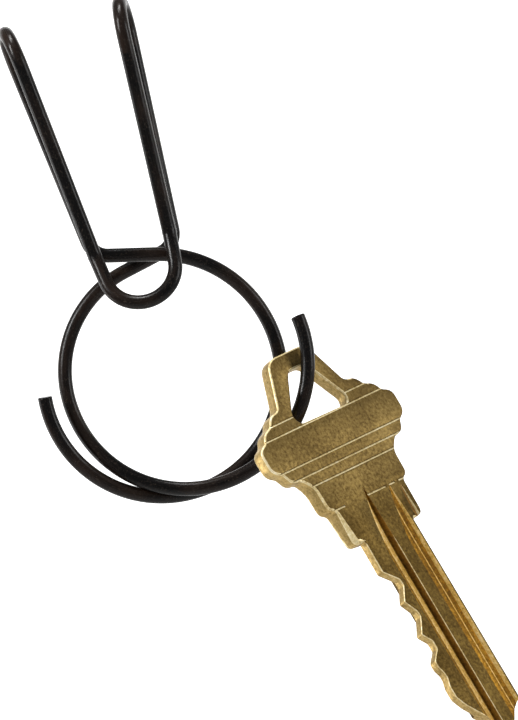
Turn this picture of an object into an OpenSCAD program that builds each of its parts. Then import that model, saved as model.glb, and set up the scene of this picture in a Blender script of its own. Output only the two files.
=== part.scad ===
// Belt-clip key ring, bent from one length of round spring wire, with one house key on it.
// It hangs from a belt: +Z is up and -Y faces away from the wearer. The origin is level with the
// belt's top edge, midway between the tops of the two rear legs. Lengths are in millimetres.

/* [Wire] */
// Diameter of the spring wire
wire_d = 1.86; // [1.7:0.02:1.9]
// Clearance where two stretches of the wire cross
cross_gap = 0.1; // [0.08:0.02:0.2]

/* [Clip] */
// Half the distance between the rear legs at the hairpins
top_half_w = 7.7; // [7.4:0.1:8.1]
// Half the distance between the tongue's legs at their kinks
kink_half_w = 5.05; // [4.9:0.05:5.2]
// Depth of a hairpin, from wire centre to wire centre
clip_depth = 8.6; // [8.2:0.1:9.4]
// Drop from the belt's top edge to the kinks that press on the belt
kink_drop = 29.5; // [29:0.1:30]
// Angle at which the lip below the kinks flares away from the belt
lip_flare = 22; // [16:1:28]
// Radius of the lip's round end
lip_r = 4.65; // [4.4:0.05:4.8]
// Drop from the kinks to the centre of the lip's round end
lip_drop = 3.3; // [3:0.1:3.6]

/* [Ring] */
// Reach of the front turn to the right of the clip's middle
front_side = 14.0; // [13.8:0.1:14.2]
// Height of the front turn's centre
front_z = -47.0; // [-47.2:0.1:-46.8]
// Radius of the front turn above its centre
front_r_up = 16.1; // [16:0.05:16.2]
// Radius of the front turn below its centre
front_r_low = 15.5; // [15.4:0.05:15.6]
// Reach of the rear turn to the left of the clip's middle
rear_side = 13.9; // [13.7:0.1:14.1]
// Height of the rear turn's centre
rear_z = -46.55; // [-46.75:0.1:-46.35]
// Radius of the rear turn above its centre
rear_r_up = 14.35; // [14.25:0.05:14.45]
// Radius of the rear turn below its centre
rear_r_low = 15.9; // [15.8:0.05:16]
// Angle by which each turn swings out of the ring's plane, so that the free ends stand clear
turn_spread = 6; // [5.8:0.1:6.2]
// Sweep of the front turn's lower part, from its right side round to its free end
front_sweep = 187.5; // [182:0.5:190]
// Sweep of the rear turn's lower part, from its left side round to its free end
rear_sweep = 187; // [182:0.5:192]

/* [Key] */
// Thickness of the key
key_t = 2.1; // [1.9:0.05:2.2]
// Thickness of the blade along its cut edge
cut_edge_t = 1.3; // [1.2:0.05:1.5]
// Turn of the key about its own length
key_yaw = 38; // [36:1:40]
// Lean of the key's tip away from the ring
key_lean = 13.4; // [12:0.2:15]
// Tilt of the key's tip towards the front
key_tilt = 7; // [5:0.5:9]
// Place of the key across the ring, from front to back
key_y = -3.65; // [-3.8:0.05:-3.5]

/* [Hidden] */

WIRE_COLOUR = "#1c1b1b";
BRASS_COLOUR = "#8d7642";
LEFT = -1;
RIGHT = 1;
X = [1, 0, 0];
Z = [0, 0, 1];

// Vector helpers
function unit(v) = v / norm(v);
function across(v, along) = unit(v - (v * along) * along);
// How far the tangent from point p (below and beyond) to a circle of radius r at the origin is
// turned from the straight-down direction
function tangent_turn(p, r) = atan2(-sqrt(p * p - r * r), r) - atan2(p[1], p[0]);

// The two turns of the ring cross at the top and at the bottom, so each lies in a plane that is
// tilted about X: the front turn passes in front at the top and behind at the bottom
CROSS_X = 0;
CROSS_SPARE = 0.78;
cross_lift = (wire_d + cross_gap + CROSS_SPARE) / 2;
front_tilt = asin(cross_lift / front_r_low);
rear_tilt = -asin(cross_lift / rear_r_up);
front_across = [cos(turn_spread), sin(turn_spread), 0];
rear_across = [cos(turn_spread), -sin(turn_spread), 0];
front_up = cos(front_tilt) * Z + sin(front_tilt) * cross(front_across, Z);
rear_up = cos(rear_tilt) * Z + sin(rear_tilt) * cross(rear_across, Z);
front_side_p = [front_side, (front_side - CROSS_X) * tan(turn_spread), front_z];
rear_side_p = [-rear_side, (rear_side + CROSS_X) * tan(turn_spread), rear_z];
front_upper_c = front_side_p - front_r_up * front_across;
front_lower_c = front_side_p - front_r_low * front_across;
rear_upper_c = rear_side_p + rear_r_up * rear_across;
rear_lower_c = rear_side_p + rear_r_low * rear_across;

// Each turn runs off its upper arc along a straight bar, at this angle round from the side
FRONT_OFF = 74.7;
REAR_OFF = 79.6;
KNEE_R = 2.7;
KNEE_X = 5.3;
front_off = front_upper_c + front_r_up * (cos(FRONT_OFF) * front_across + sin(FRONT_OFF) * front_up);
rear_off = rear_upper_c + rear_r_up * (-cos(REAR_OFF) * rear_across + sin(REAR_OFF) * rear_up);
front_bar = -sin(FRONT_OFF) * front_across + cos(FRONT_OFF) * front_up;
rear_bar = sin(REAR_OFF) * rear_across + cos(REAR_OFF) * rear_up;
knee_corner_l = front_off + front_bar * (-KNEE_X - front_off[0]) / front_bar[0];
knee_corner_r = rear_off + rear_bar * (KNEE_X - rear_off[0]) / rear_bar[0];

// Rear legs, hairpins and tongue legs: on each side they share one plane
hairpin_r = clip_depth / 2;
hairpin_z = wire_d / 2 - hairpin_r;
KINK_GAP = 0.15;
kink_y = knee_corner_l[1] - wire_d - KINK_GAP;
KINK_R = 1.8;
KINK_SHIFT = -0.05;
HAIRPIN_CUT = 0.4;
function knee_corner(side) = side == LEFT ? knee_corner_l : knee_corner_r;
function leg_top(side) = [side * top_half_w, 0, hairpin_z];
function kink(side) = [side * kink_half_w + KINK_SHIFT, kink_y, -kink_drop];
function leg_up(side) = unit(leg_top(side) - knee_corner(side));
function forward(side) = across(kink(side) - leg_top(side), leg_up(side));
function hairpin_c(side) = leg_top(side) + hairpin_r * forward(side);
function kink_from_c(side) = kink(side) - hairpin_c(side);
function leg_turn(side) =
    tangent_turn([kink_from_c(side) * forward(side), kink_from_c(side) * leg_up(side)], hairpin_r);
function tongue_top(side) =
    hairpin_c(side) + hairpin_r * (cos(leg_turn(side)) * forward(side) - sin(leg_turn(side)) * leg_up(side));

// Lip: two short legs and a round end, in a plane that flares forward from the kinks
lip_up = [0, sin(lip_flare), cos(lip_flare)];
lip_c = [KINK_SHIFT, kink_y, -kink_drop] - lip_drop / cos(lip_flare) * lip_up;
lip_turn = tangent_turn([kink_half_w, -lip_drop / cos(lip_flare)], lip_r);
function lip_start(side) = lip_c + lip_r * (side * cos(lip_turn) * X + sin(lip_turn) * lip_up);

// Where the free ends begin, as an angle from each arm's start
END_START = 130;
// Clearance between an arm and the fixed part of its turn
ARM_GAP = 0.05;
arm_start_front = ARM_GAP / front_r_low * 180 / PI;
arm_start_rear = ARM_GAP / rear_r_low * 180 / PI;

// The bow stands a little to the left of the blade's middle
BOW_SHIFT = -0.2;
// Key outline, right half of the bow: across, up, and how far each corner is rounded
BOW = [[3.4, 16.6, 1.5], [6.0, 10.05, 0.7], [7.7, 9.85, 0.9], [8.5, 8.55, 0.5], [9.9, 8.1, 0.8],
       [10.6, 6.85, 0.4], [12.0, 6.3, 1.0], [12.0, 3.0, 1.0], [10.7, 2.3, 0.4], [10.0, 0.75, 0.8],
       [8.5, 0.55, 0.5], [7.2, -1.0, 0.8], [7.1, -4.3, 0.5], [6.1, -4.95, 0.4], [6.0, -10.1, 0.9]];
HOLE = [[-1.5, 14.2, 0.8], [1.5, 14.2, 0.8], [4.75, 8.2, 0.6], [4.3, 7.1, 0.5], [-4.3, 7.1, 0.5],
        [-4.75, 8.2, 0.6]];
SPINE_X = 4.0;
CUT_X = -4.8;
SHOULDER_Z = -10.1;
TIP = [[SPINE_X, -37.3, 0.4], [2.3, -38.1, 0.4], [1.2, -39.7, 0.5], [-1.3, -38.5, 0.5],
       [CUT_X, -33.9, 0.4]];
// Key cuts: place along the blade, depth, and half the width of the flat root
CUTS = [[-17.05, 1.75, 0.35], [-21.65, 1.55, 0.35], [-26.1, 1.2, 0.6], [-30.3, 0.25, 0.4]];
CUT_FLANK = 1.35;
// How far the back of the blade is thinned in from its cut edge
THINNED_W = 1.9;
// Room that cutting shapes have beyond the key's outline
SPARE = 1;
// Heights of the engraved lines across the bow
LINES = [8.55, 7.0, 2.4, 0.8, -0.75, -4.85];
LINE_DEPTH = 0.12;
// Lengthwise grooves in the blade's front: left edge, floor from, floor to, right edge, depth at
// the left and at the right of the floor
GROOVES = [[-2.4, -0.75, -0.6, -0.3, 0.88, 0.92], [1.5, 2.6, 3.6, 3.72, 0.32, 0.4]];
GROOVE_TOP = -5.0;
GROOVE_END = -45;
LINE_W = 30;
KEY_ORIGIN = [18.78, key_y, -64.63];

// One corner of an outline, rounded over a distance d on both sides
function corner(a, c, b, d) =
    let(p = c + unit(a - c) * d, q = c + unit(b - c) * d)
    [for (t = [0 : 0.2 : 1]) (1 - t) * (1 - t) * p + 2 * t * (1 - t) * c + t * t * q];
function flat(p) = [p[0], p[1]];
function rounded(pts) =
    let(n = len(pts))
    [for (i = [0 : n - 1])
        each corner(flat(pts[(i + n - 1) % n]), flat(pts[i]), flat(pts[(i + 1) % n]), pts[i][2])];
function mirrored(pts) = [for (i = [len(pts) - 1 : -1 : 0]) [-pts[i][0], pts[i][1], pts[i][2]]];

// Straight wire between two points
module rod(a, b) {
    up = unit(b - a);
    side = across([0.3, 1, 0.2], up);
    frame = [side, cross(up, side), up];
    place(a, frame) cylinder(d = wire_d, h = norm(b - a), $fn = 32);
}

// Wire bent along an arc: it starts at centre + r * from and turns towards the direction of to
module arc(centre, from, to, r, sweep) {
    u = unit(from);
    v = across(to, u);
    place(centre, [u, v, cross(u, v)])
        rotate_extrude(angle = sweep, $fn = 96) translate([r, 0]) circle(d = wire_d, $fn = 32);
}

// Wire bent round a corner between the directions to two points
module bend(a, corner, b, r) {
    u = unit(a - corner);
    v = unit(b - corner);
    half = acos(u * v) / 2;
    start = corner + u * r / tan(half);
    centre = corner + unit(u + v) * r / sin(half);
    arc(centre, start - centre, -u, r, 180 - 2 * half);
}

// The point where a bend of radius r leaves the line from its corner towards point a
function bend_end(a, corner, b, r) =
    let(u = unit(a - corner), v = unit(b - corner))
    corner + u * r / tan(acos(u * v) / 2);

module place(at, axes) {
    multmatrix([for (i = [0 : 2]) [axes[0][i], axes[1][i], axes[2][i], at[i]]]) children();
}

module hairpin_rear(side) {
    arc(hairpin_c(side), -forward(side), leg_up(side), hairpin_r, 90 - HAIRPIN_CUT);
}

module hairpin_front(side) {
    arc(hairpin_c(side), leg_up(side), forward(side), hairpin_r, 90 + leg_turn(side));
}

module rear_leg(side) {
    bar_end = side == LEFT ? front_off : rear_off;
    rod(bend_end(leg_top(side), knee_corner(side), bar_end, KNEE_R), leg_top(side));
}

module knee(side) {
    bend(leg_top(side), knee_corner(side), side == LEFT ? front_off : rear_off, KNEE_R);
}

module crossbar(side) {
    bar_end = side == LEFT ? front_off : rear_off;
    rod(bend_end(bar_end, knee_corner(side), leg_top(side), KNEE_R), bar_end);
}

module tongue_leg(side) {
    rod(tongue_top(side), bend_end(tongue_top(side), kink(side), lip_start(side), KINK_R));
}

module tongue_kink(side) {
    bend(tongue_top(side), kink(side), lip_start(side), KINK_R);
}

module lip_leg(side) {
    rod(bend_end(lip_start(side), kink(side), tongue_top(side), KINK_R), lip_start(side));
}

module lip_bend() {
    arc(lip_c, lip_start(RIGHT) - lip_c, -lip_up, lip_r, 180 + 2 * lip_turn);
}

module ring_front_turn() {
    arc(front_upper_c, front_across, front_up, front_r_up, FRONT_OFF);
}

module ring_rear_turn() {
    arc(rear_upper_c, -rear_across, rear_up, rear_r_up, REAR_OFF);
}

// Lower part of the front turn, from its right side, between two angles
module front_arm(start, end) {
    from = cos(start) * front_across - sin(start) * front_up;
    to = -sin(start) * front_across - cos(start) * front_up;
    arc(front_lower_c, from, to, front_r_low, end - start);
}

// Lower part of the rear turn, from its left side, between two angles
module rear_arm(start, end) {
    from = -cos(start) * rear_across - sin(start) * rear_up;
    to = sin(start) * rear_across - cos(start) * rear_up;
    arc(rear_lower_c, from, to, rear_r_low, end - start);
}

module key_cut(cut) {
    reach = cut[2] + CUT_FLANK * (cut[1] + SPARE);
    polygon([[CUT_X - SPARE, cut[0] - reach], [CUT_X - SPARE, cut[0] + reach],
             [CUT_X + cut[1], cut[0] + cut[2]], [CUT_X + cut[1], cut[0] - cut[2]]]);
}

module key_outline() {
    difference() {
        union() {
            translate([BOW_SHIFT, 0]) polygon(rounded(concat(BOW, mirrored(BOW))));
            polygon(rounded(concat([[CUT_X, SHOULDER_Z + SPARE, 0.1],
                                    [SPINE_X, SHOULDER_Z + SPARE, 0.1]], TIP)));
        }
        polygon(rounded(HOLE));
        for (cut = CUTS) key_cut(cut);
    }
}

module key_groove(g) {
    translate([0, 0, GROOVE_END])
        linear_extrude(height = GROOVE_TOP - GROOVE_END)
            polygon([[g[0], -0.1], [g[1], g[4]], [g[2], g[5]], [g[3], -0.1]]);
}

// One line engraved across the bow's face, as a small groove with sides at 45 degrees
module key_line(z) {
    side = LINE_DEPTH * sqrt(2);
    translate([-LINE_W / 2, 0, z]) rotate([45, 0, 0]) cube([LINE_W, side, side]);
}

module house_key() {
    translate(KEY_ORIGIN) rotate([0, -key_lean, 0]) rotate([-key_tilt, 0, 0]) rotate([0, 0, key_yaw])
        difference() {
            rotate([90, 0, 0]) translate([0, 0, -key_t]) linear_extrude(height = key_t) key_outline();
            for (g = GROOVES) key_groove(g);
            translate([CUT_X - SPARE, cut_edge_t, GROOVE_END])
                cube([THINNED_W + SPARE, key_t, SHOULDER_Z - GROOVE_END]);
            for (z = LINES) key_line(z);
        }
}

color(WIRE_COLOUR) hairpin_rear(LEFT);  // hairpin_rear_left
color(WIRE_COLOUR) hairpin_rear(RIGHT);  // hairpin_rear_right
color(WIRE_COLOUR) rear_leg(LEFT);  // rear_leg_left
color(WIRE_COLOUR) rear_leg(RIGHT);  // rear_leg_right
color(WIRE_COLOUR) knee(LEFT);  // knee_left
color(WIRE_COLOUR) knee(RIGHT);  // knee_right
color(WIRE_COLOUR) crossbar(LEFT);  // crossbar_front
color(WIRE_COLOUR) crossbar(RIGHT);  // crossbar_rear
color(WIRE_COLOUR) ring_front_turn();
color(WIRE_COLOUR) ring_rear_turn();
color(WIRE_COLOUR) hairpin_front(LEFT);  // hairpin_front_left
color(WIRE_COLOUR) hairpin_front(RIGHT);  // hairpin_front_right
color(WIRE_COLOUR) tongue_leg(LEFT);  // tongue_leg_left
color(WIRE_COLOUR) tongue_leg(RIGHT);  // tongue_leg_right
color(WIRE_COLOUR) tongue_kink(LEFT);  // tongue_kink_left
color(WIRE_COLOUR) tongue_kink(RIGHT);  // tongue_kink_right
color(WIRE_COLOUR) lip_leg(LEFT);  // lip_leg_left
color(WIRE_COLOUR) lip_leg(RIGHT);  // lip_leg_right
color(WIRE_COLOUR) lip_bend();
color(WIRE_COLOUR) front_arm(arm_start_front, END_START);  // ring_front_arm
color(WIRE_COLOUR) front_arm(END_START, front_sweep);  // free_end_left
color(WIRE_COLOUR) rear_arm(arm_start_rear, END_START);  // ring_rear_arm
color(WIRE_COLOUR) rear_arm(END_START, rear_sweep);  // free_end_right
color(BRASS_COLOUR) house_key();
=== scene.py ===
"""Belt-clip key ring in black spring wire with a brass house key, dressed round its CAD model."""
from __future__ import annotations

import logging
import math
from dataclasses import dataclass
from enum import Enum

import bmesh
import bpy
from bpy.types import ID, Material, Mesh, Node, NodeSocket, NodeTree, Object
from mathutils import Matrix, Vector
from mathutils.geometry import tessellate_polygon


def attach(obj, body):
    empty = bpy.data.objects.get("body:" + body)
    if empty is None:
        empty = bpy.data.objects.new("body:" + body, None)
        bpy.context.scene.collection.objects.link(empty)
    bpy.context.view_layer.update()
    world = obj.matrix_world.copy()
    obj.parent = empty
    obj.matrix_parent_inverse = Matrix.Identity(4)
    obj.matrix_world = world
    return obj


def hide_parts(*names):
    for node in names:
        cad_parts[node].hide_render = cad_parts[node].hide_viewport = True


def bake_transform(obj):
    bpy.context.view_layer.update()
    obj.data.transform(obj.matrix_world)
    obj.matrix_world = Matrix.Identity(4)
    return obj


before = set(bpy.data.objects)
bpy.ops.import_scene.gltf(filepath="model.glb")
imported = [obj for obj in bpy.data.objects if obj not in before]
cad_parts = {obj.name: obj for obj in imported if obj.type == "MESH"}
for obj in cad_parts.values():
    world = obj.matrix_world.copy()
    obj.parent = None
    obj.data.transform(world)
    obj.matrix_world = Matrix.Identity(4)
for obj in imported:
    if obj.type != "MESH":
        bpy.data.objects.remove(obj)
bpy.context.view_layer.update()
MM = 0.001
LOG = logging.getLogger("key_ring")
X, Z = Vector((1, 0, 0)), Vector((0, 0, 1))
Pair = tuple[float, float]
Triple = tuple[float, float, float]
Colour = tuple[float, float, float, float]
# Corners of an outline: across, up and rounding distance of each
Corners = tuple[Triple, ...]


class Side(Enum):
    """Which side of the clip, seen from the front."""

    LEFT = -1
    RIGHT = 1


class Part(Enum):
    """Material slot of each kind of face on the key."""

    FACE = 0
    BEVEL = 1
    EDGE = 2
    BITTING = 3
    GROOVE = 4
    WALL = 5
    SHADE = 6
    SCRIBE = 7


def srgb(code: str) -> Colour:
    """Turn an sRGB hex colour into linear RGBA.

    Args:
        code: colour such as "#8d7642".

    Returns:
        Linear red, green, blue and an alpha of 1.
    """
    parts = [int(code[i:i + 2], 16) / 255 for i in (1, 3, 5)]
    linear = [p / 12.92 if p <= 0.04045 else ((p + 0.055) / 1.055) ** 2.4 for p in parts]
    return (*linear, 1.0)


def link(name: str, data: ID) -> Object:
    """Put data into the scene as an object.

    Args:
        name: name of the object.
        data: its mesh, light or camera.

    Returns:
        The object.
    """
    thing = bpy.data.objects.new(name, data)
    bpy.context.collection.objects.link(thing)
    return thing


def add(tree: NodeTree, kind: str, settings: dict | None = None,
        values: dict | None = None) -> Node:
    """Add one node to a tree.

    Args:
        tree: node tree that gets the node.
        kind: node type name.
        settings: node properties to set.
        values: input name or number to a value, or to a socket to link from.

    Returns:
        The new node.
    """
    node = tree.nodes.new(kind)
    for name, value in (settings or {}).items():
        setattr(node, name, value)
    for name, value in (values or {}).items():
        if isinstance(value, NodeSocket):
            tree.links.new(value, node.inputs[name])
        else:
            node.inputs[name].default_value = value
    return node


def ramp(tree: NodeTree, factor: NodeSocket, stops: list[tuple[float, Colour]]) -> NodeSocket:
    """Add a colour ramp.

    Args:
        tree: node tree that gets the ramp.
        factor: socket that drives it.
        stops: position and linear RGBA of each stop, in order.

    Returns:
        The ramp's colour output.
    """
    node = add(tree, "ShaderNodeValToRGB", values={0: factor})
    elements = node.color_ramp.elements
    while len(elements) < len(stops):
        elements.new(0.5)
    for element, (position, colour) in zip(elements, stops):
        element.position = position
        element.color = colour
    return node.outputs["Color"]


def grey(value: float) -> Colour:
    """A grey ramp colour.

    Args:
        value: linear brightness.

    Returns:
        Linear RGBA.
    """
    return (value, value, value, 1.0)


def new_tree(name: str) -> tuple[Material, NodeTree]:
    """Make an empty node material.

    Args:
        name: name of the material.

    Returns:
        The material and its node tree.
    """
    material = bpy.data.materials.new(name)
    material.use_nodes = True
    material.node_tree.nodes.clear()
    return material, material.node_tree


def attribute(tree: NodeTree, name: str, output: str) -> NodeSocket:
    """Read one mesh attribute in a shader.

    Args:
        tree: node tree of the material.
        name: name of the attribute.
        output: which output to give, such as "Fac".

    Returns:
        The attribute's socket.
    """
    return add(tree, "ShaderNodeAttribute", {"attribute_name": name}).outputs[output]


def noise(tree: NodeTree, where: NodeSocket, stretch: Triple, detail: float,
          roughness: float = 0.55) -> NodeSocket:
    """Add noise over stretched coordinates.

    Args:
        tree: node tree that gets the noise.
        where: coordinates in millimetres.
        stretch: features per millimetre along each axis.
        detail: number of octaves.
        roughness: weight of the finer octaves.

    Returns:
        The noise value.
    """
    scaled = add(tree, "ShaderNodeVectorMath", {"operation": "MULTIPLY"}, {0: where, 1: stretch})
    node = add(tree, "ShaderNodeTexNoise", values={
        "Vector": scaled.outputs[0], "Scale": 1.0, "Detail": detail, "Roughness": roughness})
    return node.outputs[0]


def mix(tree: NodeTree, factor: NodeSocket | float, a: object, b: object,
        blend: str = "MIX") -> NodeSocket:
    """Mix two colours.

    Args:
        tree: node tree that gets the mix.
        factor: share of b.
        a: first colour, a value or a socket.
        b: second colour, a value or a socket.
        blend: blend mode.

    Returns:
        The mixed colour.
    """
    node = add(tree, "ShaderNodeMix", {"data_type": "RGBA", "blend_type": blend}, {0: factor, 6: a, 7: b})
    return node.outputs[2]


def surface(tree: NodeTree, values: dict) -> None:
    """Close a material with a principled surface.

    Args:
        tree: node tree of the material.
        values: principled inputs.
    """
    shader = add(tree, "ShaderNodeBsdfPrincipled", values=values)
    add(tree, "ShaderNodeOutputMaterial", values={"Surface": shader.outputs[0]})


def bumps(tree: NodeTree, layers: list[tuple]) -> NodeSocket:
    """Stack bump layers.

    Args:
        tree: node tree of the material.
        layers: height socket, depth in millimetres and strength of each layer.

    Returns:
        The bumped normal.
    """
    normal = None
    for height, depth, strength in layers:
        values = {"Height": height, "Distance": depth * MM, "Strength": strength}
        if normal is not None:
            values["Normal"] = normal
        normal = add(tree, "ShaderNodeBump", values=values).outputs[0]
    return normal


@dataclass(frozen=True)
class CoatedWire:
    """Semi-gloss black coating on drawn spring wire: fine draw lines, speckle, and brown worn spots that
    also serve as painted sheen in place of brownish highlights.
    """

    name: str = "black_coated_spring_wire"
    black: str = "#060505"
    # Brown of the worn spots, also a painted sheen standing in for brownish highlights
    brown_wear_and_sheen: str = "#241a14"
    rub: str = "#3d352e"
    roughness: Pair = (0.18, 0.32)
    gloss: float = 0.17
    # Features per millimetre across and along the wire
    patches: Triple = (0.35, 0.35, 0.11)
    lines: Triple = (6.0, 6.0, 0.35)
    speckle: Triple = (5.0, 5.0, 4.0)

    def build(self) -> Material:
        """Make the material.

        Returns:
            The finished material.
        """
        material, tree = new_tree(self.name)
        along = attribute(tree, "along", "Fac")
        section = add(tree, "ShaderNodeSeparateXYZ", values={0: attribute(tree, "section", "Vector")})
        metres = add(tree, "ShaderNodeCombineXYZ", values={
            0: section.outputs[0], 1: section.outputs[1], 2: along})
        scale = add(tree, "ShaderNodeVectorMath", {"operation": "SCALE"},
                    {0: metres.outputs[0], "Scale": 1 / MM})
        where = scale.outputs[0]
        patches = noise(tree, where, self.patches, 3.0)
        lines = noise(tree, where, self.lines, 4.0, 0.65)
        speckle = noise(tree, where, self.speckle, 3.0, 0.65)
        # Brown spots: worn coating, and painted sheen for the brownish highlights
        brown_wear_and_sheen = ramp(tree, patches, [(0.44, grey(0.0)), (0.66, grey(0.8))])
        colour = mix(tree, brown_wear_and_sheen, srgb(self.black), srgb(self.brown_wear_and_sheen))
        rubbed = ramp(tree, speckle, [(0.56, grey(0.0)), (0.7, grey(0.6))])
        colour = mix(tree, rubbed, colour, srgb(self.rub))
        low, high = self.roughness
        rough = ramp(tree, lines, [(0.3, grey(low)), (0.7, grey(high))])
        normal = bumps(tree, [(lines, 0.03, 0.5), (speckle, 0.02, 0.45)])
        surface(tree, {"Base Color": colour, "Roughness": rough, "Normal": normal,
                       "Specular IOR Level": self.gloss})
        return material


@dataclass(frozen=True)
class Brass:
    """Key brass in one state of wear; patterns follow the key's own millimetres."""

    name: str
    dark: str
    middle: str
    light: str
    roughness: Pair
    metallic: float = 1.0
    # Features per millimetre of the broad tarnish, the fine mottling and the tool marks
    broad: Triple = (0.22, 0.22, 0.16)
    fine: Triple = (2.6, 2.6, 2.2)
    grain: Triple = (6.0, 6.0, 0.9)
    grain_depth: float = 0.006
    pits: float = 0.35
    pit_colour: str = "#33290f"
    fine_share: float = 0.66
    tones: Pair = (0.38, 0.62)
    # Heights between which the bow's tone turns into the blade's
    blade_fade: Pair = (0.5, -9.0)
    blade_shade: Colour = (1.0, 1.0, 1.0, 1.0)

    def build(self) -> Material:
        """Make the material.

        Returns:
            The finished material.
        """
        material, tree = new_tree(self.name)
        where = attribute(tree, "key_mm", "Vector")
        broad = noise(tree, where, self.broad, 3.0, 0.5)
        fine = noise(tree, where, self.fine, 4.0, 0.7)
        grain = noise(tree, where, self.grain, 3.0, 0.6)
        tone = add(tree, "ShaderNodeMath", {"operation": "MULTIPLY_ADD"}, {
            0: fine, 1: self.fine_share})
        share = add(tree, "ShaderNodeMath", {"operation": "MULTIPLY"}, {
            0: broad, 1: 1 - self.fine_share})
        tree.links.new(share.outputs[0], tone.inputs[2])
        worn, clean = self.tones
        colour = ramp(tree, tone.outputs[0], [(worn, srgb(self.dark)), (0.5, srgb(self.middle)),
                                              (clean, srgb(self.light))])
        streak = ramp(tree, grain, [(0.35, grey(0.78)), (0.65, grey(1.0))])
        colour = mix(tree, 0.6, colour, streak, "MULTIPLY")
        pit = ramp(tree, fine, [(0.3, grey(self.pits)), (0.4, grey(0.0))])
        colour = mix(tree, pit, colour, srgb(self.pit_colour))
        height = add(tree, "ShaderNodeSeparateXYZ", values={0: where}).outputs["Z"]
        blade = add(tree, "ShaderNodeMapRange", {"interpolation_type": "SMOOTHSTEP"}, {
            "Value": height, "From Min": self.blade_fade[0], "From Max": self.blade_fade[1]})
        shade = mix(tree, blade.outputs[0], grey(1.0), self.blade_shade)
        colour = mix(tree, 1.0, colour, shade, "MULTIPLY")
        low, high = self.roughness
        rough = ramp(tree, tone.outputs[0], [(worn, grey(high)), (clean, grey(low))])
        normal = bumps(tree, [(grain, self.grain_depth, 0.4), (fine, 0.02, 0.3)])
        surface(tree, {"Base Color": colour, "Roughness": rough, "Metallic": self.metallic,
                       "Normal": normal})
        return material


KEY_FINISHES = {
    # Dull faces, darkened by handling
    Part.FACE: Brass("brass_handled_face", "#604d2b", "#786339", "#937c4a", (0.47, 0.62), pits=0.5,
                     blade_shade=(0.64, 0.6, 0.49, 1.0)),
    # Bevels rubbed bright in the pocket, and a painted highlight: this bright brass goes on every bevel that
    # does not face right, on the groove edges and on the lower sides of the scribed lines
    Part.BEVEL: Brass("brass_rubbed_bevel_and_painted_highlight", "#c3a86c", "#e9d49c", "#fff2cc", (0.3, 0.42), 0.35,
                      pits=0.25),
    # Sides of the bow, with marks that run along them
    Part.EDGE: Brass("brass_milled_edge", "#97804d", "#b69a60", "#d1b577", (0.36, 0.48), 0.9,
                     grain=(0.8, 0.8, 7.0)),
    # Cuts of the blade, with the cutter's marks
    Part.BITTING: Brass("brass_cut_bitting", "#8a7140", "#b0945a", "#d0b378", (0.35, 0.46), 0.9,
                        grain=(9.0, 0.5, 9.0), pits=0.15),
    # Bare milled brass in the grooves: floor; a brighter copy as a painted highlight on the side that
    # catches the light; a darker copy as painted shade on the side in its own shade
    Part.GROOVE: Brass("brass_milled_groove", "#5e3f08", "#845b0d", "#b18225", (0.36, 0.5), 0.8,
                       grain=(7.0, 7.0, 0.6), grain_depth=0.01, pits=0.3),
    Part.WALL: Brass("brass_groove_lit_side", "#b98f3f", "#e6b95c", "#ffdf9c", (0.34, 0.48), 0.45,
                     grain=(7.0, 7.0, 0.6), grain_depth=0.01, pits=0.3),
    Part.SHADE: Brass("brass_groove_shadow_side", "#6c4a12", "#855f1c", "#a1782a", (0.45, 0.6), 0.4,
                      grain=(9.0, 9.0, 0.25), grain_depth=0.01, pits=0.4),
    # Fine lines across the bow: darker brass on their upper sides as painted shade
    Part.SCRIBE: Brass("brass_scribed_line_painted_shade", "#554624", "#6b5a31", "#857243", (0.4, 0.55), pits=0.3),
}


@dataclass(frozen=True)
class Backdrop:
    """Pale painted board under and behind the object."""

    name: str = "pale_painted_board"
    paint: str = "#ececea"
    light: str = "#f3f3f2"
    glow: float = 0.95
    glow_from: Pair = (1.25, 2.05)
    mottle: float = 60.0

    def build(self) -> Material:
        """Make the material.

        Returns:
            The finished material.
        """
        material, tree = new_tree(self.name)
        where = add(tree, "ShaderNodeTexCoord").outputs["Object"]
        fine = add(tree, "ShaderNodeTexNoise", values={"Vector": where, "Scale": self.mottle, "Detail": 3.0})
        tone = ramp(tree, fine.outputs[0], [(0.3, srgb(self.paint)), (0.7, srgb(self.light))])
        depth = add(tree, "ShaderNodeSeparateXYZ", values={0: where}).outputs["Y"]
        far = add(tree, "ShaderNodeMapRange", {"interpolation_type": "SMOOTHSTEP"}, {
            "Value": depth, "From Min": self.glow_from[0], "From Max": self.glow_from[1],
            "To Min": 0.0, "To Max": self.glow})
        surface(tree, {"Base Color": tone, "Roughness": 0.9, "Emission Color": srgb("#ffffff"),
                       "Emission Strength": far.outputs[0]})
        return material


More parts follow.
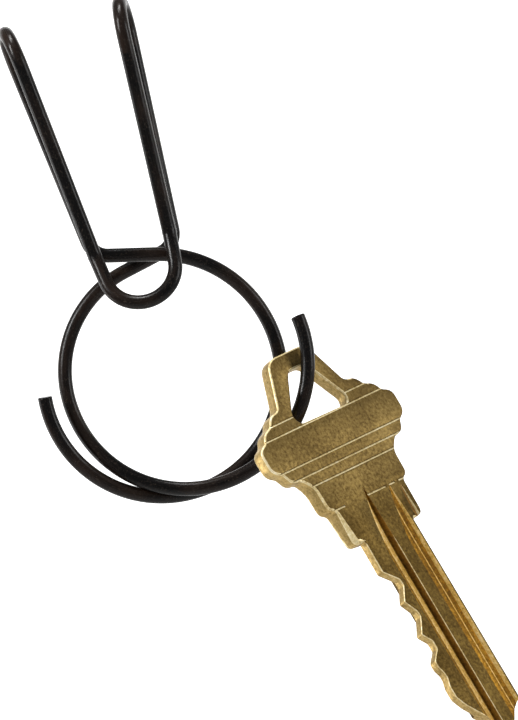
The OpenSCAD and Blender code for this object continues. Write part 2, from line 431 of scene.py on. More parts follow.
class WirePath:
    """Centre line of a stretch of wire, in millimetres, with the wire's girth at each point."""

    def __init__(self, start: Vector, step: float = 0.45) -> None:
        """Start a path.

        Args:
            start: first point.
            step: longest step along a bend.
        """
        self.step = step
        self.points: list[Vector] = [start.copy()]

    @property
    def length(self) -> float:
        """Length of the path.

        Returns:
            Millimetres along the centre line.
        """
        return sum((b - a).length for a, b in zip(self.points, self.points[1:]))

    def line(self, end: Vector) -> WirePath:
        """Go straight to a point.

        Args:
            end: the point.

        Returns:
            The path itself.
        """
        start = self.points[-1]
        count = max(1, round((end - start).length / (2.5 * self.step)))
        self.points += [start.lerp(end, i / count) for i in range(1, count + 1)]
        return self

    def arc(self, centre: Vector, u: Vector, v: Vector, radius: float, first: float,
            last: float) -> WirePath:
        """Bend round a centre.

        Args:
            centre: centre of the bend.
            u: direction of angle 0.
            v: direction of angle 90 degrees.
            radius: bend radius to the wire's centre.
            first: start angle in degrees.
            last: end angle in degrees.

        Returns:
            The path itself.
        """
        count = max(2, round(abs(math.radians(last - first)) * radius / self.step))
        for i in range(1, count + 1):
            angle = math.radians(first + (last - first) * i / count)
            self.points.append(centre + radius * (math.cos(angle) * u + math.sin(angle) * v))
        return self

    def bend(self, corner: Vector, after: Vector, radius: float) -> WirePath:
        """Go straight towards a corner and round it.

        Args:
            corner: corner of the two straights.
            after: a point on the second straight.
            radius: bend radius.

        Returns:
            The path itself.
        """
        u = (self.points[-1] - corner).normalized()
        v = (after - corner).normalized()
        half = u.angle(v) / 2
        start = corner + u * radius / math.tan(half)
        centre = corner + (u + v).normalized() * radius / math.sin(half)
        self.line(start)
        first = (start - centre).normalized()
        return self.arc(centre, first, -u, radius, 0.0, 180 - 2 * math.degrees(half))


def tangent_turn(p: Pair, r: float) -> float:
    """Turn of the tangent from a point to a circle round the origin, away from straight down.

    Args:
        p: the point, below and beyond the circle.
        r: radius of the circle.

    Returns:
        The angle in radians.
    """
    return math.atan2(-math.sqrt(p[0] ** 2 + p[1] ** 2 - r * r), r) - math.atan2(p[1], p[0])


@dataclass(frozen=True)
class WireForm:
    """Sizes of the bent wire in millimetres, as in the CAD model."""

    wire_d: float = 1.86
    cross_gap: float = 0.1
    cross_spare: float = 0.78
    top_half_w: float = 7.7
    kink_half_w: float = 5.05
    clip_depth: float = 8.6
    kink_drop: float = 29.5
    kink_gap: float = 0.15
    kink_r: float = 1.8
    kink_shift: float = -0.05
    lip_flare: float = 22.0
    lip_r: float = 4.65
    lip_drop: float = 3.3
    side_x: Pair = (14.0, -13.9)
    side_z: Pair = (-47.0, -46.55)
    r_up: Pair = (16.1, 14.35)
    r_low: Pair = (15.5, 15.9)
    turn_spread: float = 6.0
    off: Pair = (74.7, 79.6)
    sweep: Pair = (187.5, 187.0)
    knee_r: float = 2.7
    knee_x: float = 5.3
    lap: float = 1.6
    sides: int = 32


class Turn:
    """One turn of the ring: the crossbar it comes from, its side point and its free arm."""

    def __init__(self, form: WireForm, side: Side) -> None:
        """Work out the turn's circles.

        Args:
            form: wire sizes.
            side: LEFT for the turn whose crossbar starts at the left knee and passes in front.
        """
        i = 0 if side is Side.LEFT else 1
        out = -side.value
        spread = math.radians(form.turn_spread)
        axis = Vector((math.cos(spread), out * math.sin(spread), 0))
        lift = (form.wire_d + form.cross_gap + form.cross_spare) / 2
        radius = form.r_low[0] if side is Side.LEFT else form.r_up[1]
        tilt = out * math.asin(lift / radius)
        self.across = out * axis
        self.up = math.cos(tilt) * Z + math.sin(tilt) * axis.cross(Z)
        reach = form.side_x[i]
        self.side_point = Vector((reach, abs(reach) * math.tan(spread), form.side_z[i]))
        self.r_up, self.r_low = form.r_up[i], form.r_low[i]
        self.upper = self.side_point - self.r_up * self.across
        self.lower = self.side_point - self.r_low * self.across
        self.off, self.sweep = form.off[i], form.sweep[i]
        a = math.radians(self.off)
        self.off_point = self.upper + self.r_up * (math.cos(a) * self.across + math.sin(a) * self.up)
        bar = -math.sin(a) * self.across + math.cos(a) * self.up
        self.knee = self.off_point + bar * (side.value * form.knee_x - self.off_point.x) / bar.x


class Hairpin:
    """One side of the clip: rear leg top, hairpin bend, tongue leg and kink."""

    def __init__(self, form: WireForm, side: Side, turn: Turn, kink_y: float) -> None:
        """Work out the side's points.

        Args:
            form: wire sizes.
            side: which side.
            turn: the turn its rear leg runs into.
            kink_y: depth of the kinks.
        """
        r = form.clip_depth / 2
        self.r = r
        self.leg_top = Vector((side.value * form.top_half_w, 0, form.wire_d / 2 - r))
        self.kink = Vector((side.value * form.kink_half_w + form.kink_shift, kink_y, -form.kink_drop))
        self.up = (self.leg_top - turn.knee).normalized()
        ahead = self.kink - self.leg_top
        self.forward = (ahead - ahead.dot(self.up) * self.up).normalized()
        self.centre = self.leg_top + r * self.forward
        seen = self.kink - self.centre
        self.turn = math.degrees(tangent_turn((seen.dot(self.forward), seen.dot(self.up)), r))
        a = math.radians(self.turn)
        self.tongue_top = self.centre + r * (math.cos(a) * self.forward - math.sin(a) * self.up)
        self.down = (self.kink - self.tongue_top).normalized()


class Sweeper:
    """Sweeps a round section along a centre line with one shared node group."""

    def __init__(self) -> None:
        """Build the node group."""
        tree = bpy.data.node_groups.new("swept_wire", "GeometryNodeTree")
        face = tree.interface
        face.new_socket("Geometry", in_out="INPUT", socket_type="NodeSocketGeometry")
        for name, kind in (("Radius", "NodeSocketFloat"), ("Sides", "NodeSocketInt"),
                           ("Start", "NodeSocketFloat"), ("Sense", "NodeSocketFloat"),
                           ("Finish", "NodeSocketMaterial")):
            face.new_socket(name, in_out="INPUT", socket_type=kind)
        face.new_socket("Geometry", in_out="OUTPUT", socket_type="NodeSocketGeometry")
        given = add(tree, "NodeGroupInput").outputs
        line = add(tree, "GeometryNodeMeshToCurve", values={0: given["Geometry"]})
        girth = add(tree, "GeometryNodeInputNamedAttribute", {"data_type": "FLOAT"}, {"Name": "girth"})
        length = add(tree, "GeometryNodeSplineParameter").outputs["Length"]
        run = add(tree, "ShaderNodeMath", {"operation": "MULTIPLY_ADD"}, {
            0: length, 1: given["Sense"], 2: given["Start"]})
        rail = add(tree, "GeometryNodeStoreNamedAttribute", {"data_type": "FLOAT", "domain": "POINT"}, {
            "Geometry": line.outputs[0], "Name": "along", "Value": run.outputs[0]})
        circle = add(tree, "GeometryNodeCurvePrimitiveCircle", values={
            "Resolution": given["Sides"], "Radius": given["Radius"]})
        place = add(tree, "GeometryNodeInputPosition")
        ring = add(tree, "GeometryNodeStoreNamedAttribute",
                   {"data_type": "FLOAT_VECTOR", "domain": "POINT"},
                   {"Geometry": circle.outputs[0], "Name": "section", "Value": place.outputs[0]})
        tube = add(tree, "GeometryNodeCurveToMesh", values={
            "Curve": rail.outputs[0], "Profile Curve": ring.outputs[0],
            "Scale": girth.outputs[0], "Fill Caps": True})
        smooth = add(tree, "GeometryNodeSetShadeSmooth", values={0: tube.outputs[0]})
        real = add(tree, "GeometryNodeRealizeInstances", values={0: smooth.outputs[0]})
        painted = add(tree, "GeometryNodeSetMaterial", values={
            "Geometry": real.outputs[0], "Material": given["Finish"]})
        add(tree, "NodeGroupOutput", values={0: painted.outputs[0]})
        self.tree = tree
        self.sockets = {s.name: s.identifier for s in face.items_tree if s.in_out == "INPUT"}

    def sweep(self, name: str, path: WirePath, form: WireForm, finish: Material,
              start: float, sense: int, girths: dict[int, float] | None = None) -> Object:
        """Make one stretch of wire.

        Args:
            name: name of the piece.
            path: its centre line.
            form: wire sizes.
            finish: its material.
            start: place of the path's start along the whole wire, in millimetres.
            sense: 1 if the path runs the same way as the whole wire, else -1.
            girths: share of the full radius at single points of the path, by number.

        Returns:
            The piece as a plain mesh object.
        """
        mesh = bpy.data.meshes.new(name + "_line")
        points = [p * MM for p in path.points]
        mesh.from_pydata(points, [(i, i + 1) for i in range(len(points) - 1)], [])
        girth = mesh.attributes.new("girth", "FLOAT", "POINT")
        values = [1.0] * len(points)
        for i, share in (girths or {}).items():
            values[i] = share
        girth.data.foreach_set("value", values)
        rail = link(name + "_line", mesh)
        modifier = rail.modifiers.new("sweep", "NODES")
        modifier.node_group = self.tree
        for key, value in (("Radius", form.wire_d / 2 * MM), ("Sides", form.sides),
                           ("Start", start * MM), ("Sense", float(sense)), ("Finish", finish)):
            modifier[self.sockets[key]] = value
        graph = bpy.context.evaluated_depsgraph_get()
        solid = bpy.data.meshes.new_from_object(rail.evaluated_get(graph), depsgraph=graph)
        solid.name = name
        bpy.data.objects.remove(rail)
        return link(name, solid)


class SpringWire:
    """The one bent wire, in the stretches that move apart from each other."""

    # Girth of the wire over its last points, and their step: a cut end with a slight burr
    CUT_END = {-1: 0.90, -2: 0.985, -3: 1.015}
    CUT_STEPS = (1.0, 0.4, 0.0)
    BURR = 0.16
    KINK_RIDGE = 1.035
    FINE_STEP = 0.3

    def __init__(self, form: WireForm) -> None:
        """Work out the whole form.

        Args:
            form: wire sizes.
        """
        self.form = form
        self.turns = {side: Turn(form, side) for side in Side}
        kink_y = self.turns[Side.LEFT].knee.y - form.wire_d - form.kink_gap
        self.pins = {side: Hairpin(form, side, self.turns[side], kink_y) for side in Side}
        flare = math.radians(form.lip_flare)
        self.lip_up = Vector((0, math.sin(flare), math.cos(flare)))
        drop = form.lip_drop / math.cos(flare)
        self.lip_c = Vector((form.kink_shift, kink_y, -form.kink_drop)) - drop * self.lip_up
        self.lip_turn = tangent_turn((form.kink_half_w, -drop), form.lip_r)

    def lip_start(self, side: Side) -> Vector:
        """Where the lip's round end begins.

        Args:
            side: which side.

        Returns:
            The point.
        """
        outward = side.value * math.cos(self.lip_turn) * X + math.sin(self.lip_turn) * self.lip_up
        return self.lip_c + self.form.lip_r * outward

    def rear_run(self, side: Side) -> WirePath:
        """Rear leg, knee, crossbar and upper part of one turn.

        Args:
            side: which side.

        Returns:
            Its centre line, from the leg's top.
        """
        pin, turn = self.pins[side], self.turns[side]
        path = WirePath(pin.leg_top - self.form.lap * pin.up)
        path.bend(turn.knee, turn.off_point, self.form.knee_r).line(turn.off_point)
        return path.arc(turn.upper, turn.across, turn.up, turn.r_up, turn.off, 0.0)

    def hairpin_run(self, side: Side) -> WirePath:
        """Hairpin bend with a short straight at both ends.

        Args:
            side: which side.

        Returns:
            Its centre line, from the rear leg.
        """
        pin = self.pins[side]
        path = WirePath(pin.leg_top - self.form.lap * pin.up, step=self.FINE_STEP)
        path.line(pin.leg_top)
        path.arc(pin.centre, -pin.forward, pin.up, pin.r, 0.0, 180 + pin.turn)
        return path.line(pin.tongue_top + self.form.lap * pin.down)

    def tongue_run(self) -> tuple[WirePath, dict[int, float]]:
        """Tongue legs, kinks and lip.

        Returns:
            The centre line from left to right, and the girth of the ridge left on each kink.
        """
        left, right = self.pins[Side.LEFT], self.pins[Side.RIGHT]
        form = self.form
        path = WirePath(left.tongue_top + form.lap * left.down, step=self.FINE_STEP)
        ridges = {}
        path.bend(left.kink, self.lip_start(Side.LEFT), form.kink_r)
        ridges[len(path.points) - 2] = self.KINK_RIDGE
        path.line(self.lip_start(Side.LEFT))
        a = math.degrees(self.lip_turn)
        path.arc(self.lip_c, X, self.lip_up, form.lip_r, 180 - a, 360 + a)
        start = len(path.points)
        path.bend(right.kink, right.tongue_top, form.kink_r)
        ridges[max(start, len(path.points) - 2)] = self.KINK_RIDGE
        return path.line(right.tongue_top + form.lap * right.down), ridges

    def arm_run(self, side: Side) -> tuple[WirePath, dict[int, float]]:
        """Lower part of one turn.

        Args:
            side: which side.

        Returns:
            Its centre line from the side of the ring to its cut end, and the girths there.
        """
        turn = self.turns[side]
        path = WirePath(turn.side_point)
        burr = math.degrees(self.BURR / turn.r_low)
        path.arc(turn.lower, turn.across, -turn.up, turn.r_low, 0.0, turn.sweep - 2 * burr)
        for back in self.CUT_STEPS:
            angle = math.radians(turn.sweep - back * burr)
            outward = math.cos(angle) * turn.across - math.sin(angle) * turn.up
            path.points.append(turn.lower + turn.r_low * outward)
        count = len(path.points)
        return path, {count + i: share for i, share in self.CUT_END.items()}

    def build(self, finish: Material) -> None:
        """Make every stretch and give it to the body it moves with.

        Args:
            finish: material of the wire.
        """
        sweeper = Sweeper()
        form = self.form
        middle, ridges = self.tongue_run()
        tongue = sweeper.sweep("tongue_wire", middle, form, finish, 0.0, 1, ridges)
        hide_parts("tongue_leg_left", "tongue_leg_right", "tongue_kink_left",
                    "tongue_kink_right", "lip_leg_left", "lip_leg_right", "lip_bend")
        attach(tongue, "tongue")
        LOG.info("tongue of the clip: tongue_wire")
        turns = {Side.LEFT: ("ring_front_turn", "crossbar_front", "ring_front_arm"),
                 Side.RIGHT: ("ring_rear_turn", "crossbar_rear", "ring_rear_arm")}
        for side in Side:
            tag = side.name.lower()
            turn, crossbar, low = turns[side]
            pin_path, rear_path = self.hairpin_run(side), self.rear_run(side)
            at = pin_path.length + (middle.length if side is Side.RIGHT else 0.0)
            sense = side.value
            pin = sweeper.sweep(f"hairpin_{tag}", pin_path, form, finish, sense * at, -sense)
            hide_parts(f"hairpin_rear_{tag}", f"hairpin_front_{tag}")
            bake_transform(pin)
            rear = sweeper.sweep(f"rear_wire_{tag}", rear_path, form, finish, sense * at, sense)
            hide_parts(f"rear_leg_{tag}", f"knee_{tag}", crossbar, turn)
            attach(rear, "frame")
            arm_path, cut = self.arm_run(side)
            at += rear_path.length
            arm = sweeper.sweep(f"ring_arm_{tag}", arm_path, form, finish, sense * at, sense, cut)
            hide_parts(low, f"free_end_{tag}")
            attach(arm, f"{tag}_arm")
            LOG.info("%s side: hairpin_%s, rear_wire_%s, ring_arm_%s", tag, tag, tag, tag)


@dataclass(frozen=True)
class Groove:
    """One lengthwise groove: corners of its section (across, depth), sides' finishes, start, run-out."""

    section: tuple[Pair, ...]
    parts: tuple[Part, ...]
    top: float
    runout: float


@dataclass(frozen=True)
class KeyForm:
    """Sizes of the house key in millimetres, in its own frame: x across, y back from its face, z up."""

    thick: float = 2.1
    cut_edge: float = 1.3
    yaw: float = 38.0
    lean: float = 13.4
    tilt: float = 7.0
    origin: Triple = (18.78, -3.65, -64.63)
    bow_shift: float = -0.2
    bevel: float = 0.22
    blade_bevel: float = 0.1
    shoulder_bevel: float = 0.55
    flare: float = 0.5
    flare_z: float = 0.6
    flare_run: float = 1.5
    spine_x: float = 4.0
    shoulder_x: float = -5.2
    shoulder_z: float = -10.1
    # Height where the left shoulder's bevel starts to widen, and over how far
    worn_z: float = -5.0
    worn_run: float = 4.0
    thinned_x: float = -2.9
    # Right half of the bow
    bow: Corners = ((3.4, 16.6, 1.5), (6.0, 10.05, 0.7), (7.7, 9.85, 0.9), (8.5, 8.55, 0.5),
                  (9.9, 8.1, 0.8), (10.6, 6.85, 0.4), (12.0, 6.3, 1.0), (12.0, 3.0, 1.0),
                  (10.7, 2.3, 0.4), (10.0, 0.75, 0.8), (8.5, 0.55, 0.5), (7.2, -1.0, 0.8),
                  (7.1, -4.3, 0.5), (6.1, -4.95, 0.4), (6.0, -10.1, 0.9))
    hole: Corners = ((-1.5, 14.2, 0.8), (1.5, 14.2, 0.8), (4.75, 8.2, 0.6), (4.3, 7.1, 0.5),
                   (-3.95, 7.25, 0.65), (-4.6, 8.6, 0.7))
    # Cut edge of the blade, from the shoulder down to the tip and round to the spine
    blade: Corners = ((-4.85, -10.3, 0.1), (-4.9, -14.7, 0.15), (-3.1, -16.5, 0.2), (-3.05, -17.4, 0.2),
                    (-4.3, -19.4, 0.25), (-3.3, -21.2, 0.2), (-3.25, -22.0, 0.2), (-4.6, -24.2, 0.25),
                    (-3.6, -25.5, 0.2), (-3.6, -26.7, 0.2), (-4.95, -28.0, 0.3), (-4.95, -29.0, 0.2),
                    (-4.6, -29.9, 0.2), (-4.6, -30.7, 0.2), (-4.95, -31.8, 0.3), (-4.95, -33.4, 0.3),
                    (-4.2, -34.9, 0.4), (-3.1, -36.3, 0.3), (-1.4, -38.4, 0.4), (1.2, -39.7, 0.5),
                    (2.3, -38.2, 0.3), (3.1, -37.7, 0.3), (4.0, -37.0, 0.4))
    # Groove sides take the lit or the shaded copy of the groove brass as painted highlight and painted
    # shade; bright edge lines take the bevel brass as a painted highlight
    grooves: tuple[Groove, ...] = (
        Groove(((-2.45, 0.0), (-2.1, 0.06), (-1.05, 0.6), (-0.6, 0.92), (-0.38, 0.06), (-0.27, -0.02)),
               (Part.GROOVE, Part.WALL, Part.GROOVE, Part.SHADE, Part.BEVEL), -3.3, 10.0),
        Groove(((1.5, 0.0), (2.26, 0.1), (2.44, 0.16), (3.3, 0.34), (3.72, -0.02)),
               (Part.GROOVE, Part.WALL, Part.GROOVE, Part.WALL), -4.5, 9.0),
        Groove(((4.45, 0.0), (4.75, 0.2), (5.0, 0.22), (5.25, 0.0)),
               (Part.GROOVE, Part.SHADE, Part.BEVEL), -5.2, 6.0))
    # Scribed lines: height, from, to
    scribes: Corners = ((8.55, -12.0, -4.6), (8.55, 4.7, 12.0), (7.0, -13.0, 13.0), (2.4, -13.0, 13.0),
                      (0.8, -13.0, 13.0), (-0.75, -13.0, 13.0), (-4.8, -8.0, -4.7), (-4.8, -0.6, 2.6),
                      (-4.8, 3.3, 4.3), (-4.8, 5.0, 6.4))
    # Section of a scribed line: depth, height
    scribe: tuple[Pair, ...] = ((-0.1, 0.24), (0.1, 0.07), (-0.05, -0.24))


class HouseKey:
    """The flat brass key on the ring."""

    # Steps of a bevel: share of its width inwards, share of its width deep
    FACETS = ((1.0, 0.0), (0.42, 0.18), (0.12, 0.5), (0.0, 1.0))
    CORNER_STEPS = 5
    MITRE_LIMIT = 1.4
    # Smallest share of a side that faces right for its bevel to stay dull; every other bevel gets the bright
    # bevel brass as a painted highlight
    RIGHTWARD = 0.35
    # The blade's narrow bevel and its cut side begin this far below the shoulder
    BLADE_DROP = 0.2
    CUT_DROP = 0.3
    CUT_SIDE_X = -1.0
    # Cutting shapes: lift of a groove's corners, places along its run-out, skim, lower and outer end
    LIFT = 1.2
    RUN_OUT = (0.0, 0.08, 0.2, 0.35, 0.55, 0.8, 1.0)
    SKIM = 0.02
    TOOL_END = -45.0
    TOOL_SIDE = -8.0
    SHARP = 36.0

    def __init__(self, form: KeyForm) -> None:
        """Keep the sizes.

        Args:
            form: key sizes.
        """
        self.form = form

    @staticmethod
    def rounded(corners: Corners) -> list[Vector]:
        """Round the corners of an outline.

        Args:
            corners: across, up and rounding distance of each corner.

        Returns:
            Outline points.
        """
        points = []
        count = len(corners)
        for i, (x, z, distance) in enumerate(corners):
            here = Vector((x, z))
            before = Vector(corners[i - 1][:2])
            after = Vector(corners[(i + 1) % count][:2])
            first = here + (before - here).normalized() * distance
            last = here + (after - here).normalized() * distance
            for step in range(HouseKey.CORNER_STEPS + 1):
                t = step / HouseKey.CORNER_STEPS
                points.append((1 - t) ** 2 * first + 2 * t * (1 - t) * here + t * t * last)
        return points

    def outline(self) -> list[Vector]:
        """Outer outline of bow and blade in one loop.

        Returns:
            Outline points, clockwise from the top right.
        """
        form = self.form
        right = [(x + form.bow_shift, z, r) for x, z, r in form.bow]
        left = [(-x + form.bow_shift, z, r) for x, z, r in reversed(form.bow)]
        loop = (*right, (form.spine_x, form.shoulder_z, 0.15), *form.blade[::-1],
                (form.blade[0][0], form.shoulder_z, 0.1), *left)
        return self.rounded(loop)

    @staticmethod
    def inset(loop: list[Vector], widths: list[float], inward: float) -> list[Vector]:
        """Move every point of a loop inwards.

        Args:
            loop: outline points.
            widths: how far, for each point.
            inward: 1 for an outline, -1 for a hole, both clockwise.

        Returns:
            The moved points.
        """
        moved = []
        count = len(loop)
        for i, here in enumerate(loop):
            a = (here - loop[i - 1]).normalized()
            b = (loop[(i + 1) % count] - here).normalized()
            if not a.length:
                a = b
            if not b.length:
                b = a
            normal = Vector((a.y + b.y, -a.x - b.x)) * inward
            share = min(2 / max(normal.length, 1.0), HouseKey.MITRE_LIMIT)
            moved.append(here + normal.normalized() * widths[i] * share)
        return moved

    def flared(self, p: Vector, depth: float) -> Vector:
        """Widen the back of the left shoulder, which is drafted.

        Args:
            p: outline point.
            depth: how far behind the face it lies.

        Returns:
            The moved point.
        """
        form = self.form
        if p.x > form.shoulder_x or not form.shoulder_z - self.BLADE_DROP < p.y < form.flare_z:
            return p
        fade = min(1.0, (form.flare_z - p.y) / form.flare_run)
        return Vector((p.x - form.flare * fade * depth / form.thick, p.y))

    def bevel_at(self, p: Vector) -> float:
        """Width of the bevel at one point of the outer edge.

        Args:
            p: outline point.

        Returns:
            The width: narrow along the blade, worn wide at the left shoulder's corner.
        """
        form = self.form
        if p.y < form.shoulder_z - self.BLADE_DROP:
            return form.blade_bevel
        if p.x > form.shoulder_x or p.y > form.worn_z:
            return form.bevel
        worn = min(1.0, (form.worn_z - p.y) / form.worn_run)
        return form.bevel + worn * (form.shoulder_bevel - form.bevel)

    def plate(self) -> Object:
        """Flat key blank with bevelled edges.

        Returns:
            The blank, in the key's own millimetres.
        """
        form = self.form
        loops = [self.outline(), self.rounded(form.hole)]
        levels = [(share, depth, False) for share, depth in self.FACETS]
        levels += [(share, depth, True) for share, depth in reversed(self.FACETS)]
        points, faces, parts = [], [], []
        caps = {0: [], len(levels) - 1: []}
        for number, loop in enumerate(loops):
            outer = number == 0
            first = len(points)
            count = len(loop)
            bevels = [self.bevel_at(p) if outer else form.bevel for p in loop]
            for level, (share, depth, back) in enumerate(levels):
                ring = self.inset(loop, [share * w for w in bevels], 1.0 if outer else -1.0)
                depths = [form.thick - depth * w if back else depth * w for w in bevels]
                if outer:
                    ring = [self.flared(p, d) for p, d in zip(ring, depths)]
                points += [Vector((p.x, d, p.y)) for p, d in zip(ring, depths)]
                if level in caps:
                    caps[level].append((first + level * count, ring))
            for level in range(len(levels) - 1):
                flat = levels[level][0] == levels[level + 1][0]
                for i in range(count):
                    a, b = first + level * count + i, first + level * count + (i + 1) % count
                    faces.append((a, b, b + count, a + count))
                    here, following = loop[i], loop[(i + 1) % count]
                    middle = (here + following) / 2
                    low = middle.y < form.shoulder_z - self.CUT_DROP
                    cut = outer and middle.x < self.CUT_SIDE_X and low
                    wall = Part.BITTING if cut else Part.EDGE
                    along = (following - here).normalized()
                    rightward = -along.y if outer else along.y
                    # Bevels not facing right get the bright brass as a painted highlight
                    bevel = Part.FACE if rightward > self.RIGHTWARD else Part.BEVEL
                    parts.append(wall if flat else bevel)
        for level, rings in caps.items():
            polygon = [[Vector((p.x, p.y, 0)) for p in ring] for _, ring in rings]
            index = [start + i for start, ring in rings for i in range(len(ring))]
            for triangle in tessellate_polygon(polygon):
                faces.append(tuple(index[i] for i in triangle))
                parts.append(Part.FACE)
        mesh = bpy.data.meshes.new("key_blank")
        mesh.from_pydata(points, [], faces)
        mesh.polygons.foreach_set("material_index", [p.value for p in parts])
        return self.closed(mesh)

    @staticmethod
    def closed(mesh: Mesh) -> Object:
        """Weld a mesh, turn its faces outwards and wrap it in an object.

        Args:
            mesh: the mesh.

        Returns:
            The object.
        """
        work = bmesh.new()
        work.from_mesh(mesh)
        bmesh.ops.remove_doubles(work, verts=work.verts, dist=1e-4)
        bmesh.ops.recalc_face_normals(work, faces=work.faces)
        work.to_mesh(mesh)
        work.free()
        return link(mesh.name, mesh)

    def prism(self, name: str, rings: list[list[Triple]], parts: tuple[Part, ...]) -> Object:
        """Closed tool body lofted through rings of points.

        Args:
            name: name of the tool.
            rings: rings of equal length, in the key's own millimetres.
            parts: finish that each side leaves, in the order of the ring's points.

        Returns:
            The tool.
        """
        count = len(rings[0])
        points = [p for ring in rings for p in ring]
        faces = [tuple(range(count)), tuple(range(len(points) - count, len(points)))]
        slots = [parts[0].value] * 2
        for level in range(len(rings) - 1):
            for i in range(count):
                a, b = level * count + i, level * count + (i + 1) % count
                faces.append((a, b, b + count, a + count))
                slots.append(parts[min(i, len(parts) - 1)].value)
        mesh = bpy.data.meshes.new(name)
        mesh.from_pydata(points, [], faces)
        mesh.polygons.foreach_set("material_index", slots)
        return self.closed(mesh)

    def tools(self) -> list[Object]:
        """Make the shapes to cut away.

        Returns:
            Cutting bodies of the grooves, the thinned cut edge and the scribed lines.
        """
        form = self.form
        bodies = []
        for number, groove in enumerate(form.grooves):
            full = max(depth for _, depth in groove.section)
            (x0, y0), (x1, y1) = groove.section[:2]
            (x3, y3), (x2, y2) = groove.section[-1], groove.section[-2]
            first = (x0 + (x0 - x1) / (y1 - y0) * self.LIFT, y0 - self.LIFT)
            last = (x3 + (x3 - x2) / (y2 - y3) * self.LIFT, y3 - self.LIFT)
            corners = (first, *groove.section[1:-1], last)
            rings = []
            for share in self.RUN_OUT:
                rise = (full + self.SKIM) * (1 - share) ** 2
                rings.append([(x, depth - rise, groove.top - share * groove.runout)
                              for x, depth in corners])
            rings.append([(x, depth, self.TOOL_END) for x, depth in corners])
            bodies.append(self.prism(f"groove_{number}", rings, groove.parts))
        low, back = form.thinned_x, form.thick + 1
        side = ((self.TOOL_SIDE, form.cut_edge), (low - 0.25, form.cut_edge),
                (low, form.cut_edge + 0.2), (low + 0.15, back), (self.TOOL_SIDE, back))
        rings = [[(x, y, z) for x, y in side] for z in (form.shoulder_z, self.TOOL_END)]
        bodies.append(self.prism("thinned_edge", rings, (Part.FACE,)))
        for number, (z, start, end) in enumerate(form.scribes):
            rings = [[(x, y, z + h) for y, h in form.scribe] for x in (start, end)]
            # Upper side of each line in the dark brass as painted shade, the other sides in the bright bevel
            # brass as a painted highlight
            bodies.append(self.prism(f"scribe_{number}", rings, (Part.SCRIBE, Part.BEVEL)))
        return bodies

    def place(self) -> Matrix:
        """Find where the key hangs.

        Returns:
            Turn, scale and place that take the key's own millimetres to the shared frame.
        """
        form = self.form
        turn = Matrix.Rotation(math.radians(-form.lean), 4, "Y")
        turn @= Matrix.Rotation(math.radians(-form.tilt), 4, "X")
        turn @= Matrix.Rotation(math.radians(form.yaw), 4, "Z")
        at = Matrix.Translation(Vector(form.origin) * MM)
        return at @ turn @ Matrix.Scale(MM, 4)

    def build(self, finishes: dict[Part, Material]) -> None:
        """Cut the key and give it to its body.

        Args:
            finishes: material of each kind of face.
        """
        blank = self.plate()
        tools = self.tools()
        for thing in (blank, *tools):
            for part in Part:
                thing.data.materials.append(finishes[part])
        for tool in tools:
            cut = blank.modifiers.new(tool.name, "BOOLEAN")
            cut.operation = "DIFFERENCE"
            cut.solver = "EXACT"
            cut.object = tool
        graph = bpy.context.evaluated_depsgraph_get()
        mesh = bpy.data.meshes.new_from_object(blank.evaluated_get(graph), depsgraph=graph)
        for thing in (blank, *tools):
            bpy.data.objects.remove(thing)
        mesh.name = "key_body"
        local = mesh.attributes.new("key_mm", "FLOAT_VECTOR", "POINT")
        local.data.foreach_set("vector", [c for v in mesh.vertices for c in v.co])
        mesh.transform(self.place())
        mesh.polygons.foreach_set("use_smooth", [True] * len(mesh.polygons))
        mesh.set_sharp_from_angle(angle=math.radians(self.SHARP))
        key = link("key_body", mesh)
        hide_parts("house_key")
        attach(key, "key")
        LOG.info("house key: key_body, %d faces", len(mesh.polygons))


@dataclass(frozen=True)
class Softbox:
    """One soft studio light: place and aim in millimetres, size in millimetres, power in watts."""

    name: str
    at: Triple
    size: Pair
    power: float
    aim: Triple = (8.0, 0.0, -50.0)

    def build(self) -> None:
        """Add the light."""
        data = bpy.data.lights.new(self.name, "AREA")
        data.shape = "RECTANGLE"
        data.size, data.size_y = self.size[0] * MM, self.size[1] * MM
        data.energy = self.power
        lamp = link(self.name, data)
        lamp.location = Vector(self.at) * MM
        lamp.rotation_euler = (Vector(self.aim) - Vector(self.at)).to_track_quat("-Z", "Y").to_euler()


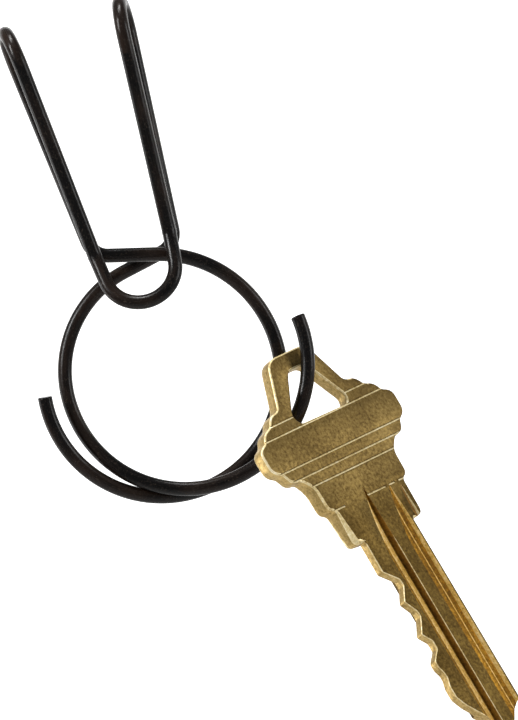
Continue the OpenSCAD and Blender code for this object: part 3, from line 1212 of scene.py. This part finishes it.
@dataclass(frozen=True)
class Studio:
    """Pale sweep, soft light and camera."""

    floor_z: float = -600.0
    reach: float = 2350.0
    half_width: float = 5000.0
    bend: float = 480.0
    bend_steps: int = 32
    world: float = 0.3
    lens: float = 480.0
    sensor: float = 36.0
    clip_end: float = 20.0
    view_height: float = 93.2
    middle: Triple = (11.18, 0.0, -48.59)
    roll: float = 17.2
    lights: tuple[Softbox, ...] = (
        Softbox("soft_key_left", (-600.0, -350.0, 450.0), (110.0, 400.0), 7.2),
        Softbox("soft_edge_left", (-700.0, 180.0, -120.0), (160.0, 500.0), 1.2),
        Softbox("soft_top", (100.0, -100.0, 800.0), (400.0, 130.0), 5.5),
        Softbox("soft_fill_right", (800.0, -250.0, 0.0), (220.0, 500.0), 2.9),
    )

    def sweep(self) -> None:
        """Board that runs back as a floor and bends up into a wall."""
        profile = [(-self.reach, self.floor_z), (self.reach - self.bend, self.floor_z)]
        for i in range(1, self.bend_steps + 1):
            angle = math.radians(90 * i / self.bend_steps)
            profile.append((self.reach - self.bend + self.bend * math.sin(angle),
                            self.floor_z + self.bend * (1 - math.cos(angle))))
        profile.append((self.reach, self.floor_z + self.reach))
        points = [(side * self.half_width * MM, y * MM, z * MM) for y, z in profile for side in (-1, 1)]
        faces = [(2 * i, 2 * i + 1, 2 * i + 3, 2 * i + 2) for i in range(len(profile) - 1)]
        mesh = bpy.data.meshes.new("pale_sweep")
        mesh.from_pydata(points, [], faces)
        mesh.polygons.foreach_set("use_smooth", [True] * len(faces))
        mesh.materials.append(Backdrop().build())
        board = link("pale_sweep", mesh)

    def camera(self) -> None:
        """Camera square to the clip, rolled so that the key hangs down to the right."""
        data = bpy.data.cameras.new("camera")
        data.lens, data.sensor_width = self.lens, self.sensor
        distance = self.view_height / 2 / (self.sensor / 2 / self.lens)
        data.clip_end = self.clip_end
        eye = link("camera", data)
        roll = math.radians(self.roll)
        axes = Matrix(((math.cos(roll), math.sin(roll), 0.0), (0.0, 0.0, -1.0),
                       (-math.sin(roll), math.cos(roll), 0.0)))
        at = Vector(self.middle) + Vector((0, -distance, 0))
        eye.matrix_world = Matrix.Translation(at * MM) @ axes.to_4x4()
        bpy.context.scene.camera = eye

    def build(self) -> None:
        """Make everything round the object."""
        self.sweep()
        for softbox in self.lights:
            softbox.build()
        world = bpy.data.worlds.new("studio")
        world.use_nodes = True
        light = next(n for n in world.node_tree.nodes if n.type == "BACKGROUND")
        light.inputs["Color"].default_value = srgb("#ffffff")
        light.inputs["Strength"].default_value = self.world
        bpy.context.scene.world = world
        bpy.context.scene.view_settings.view_transform = "Standard"
        self.camera()
        LOG.info("studio: sweep, %d soft lights, camera", len(self.lights))


def main() -> None:
    """Build every piece in order."""
    logging.basicConfig(level=logging.INFO, format="%(name)s: %(message)s")
    SpringWire(WireForm()).build(CoatedWire().build())
    HouseKey(KeyForm()).build({part: finish.build() for part, finish in KEY_FINISHES.items()})
    Studio().build()


if __name__ == "__main__":
    main()
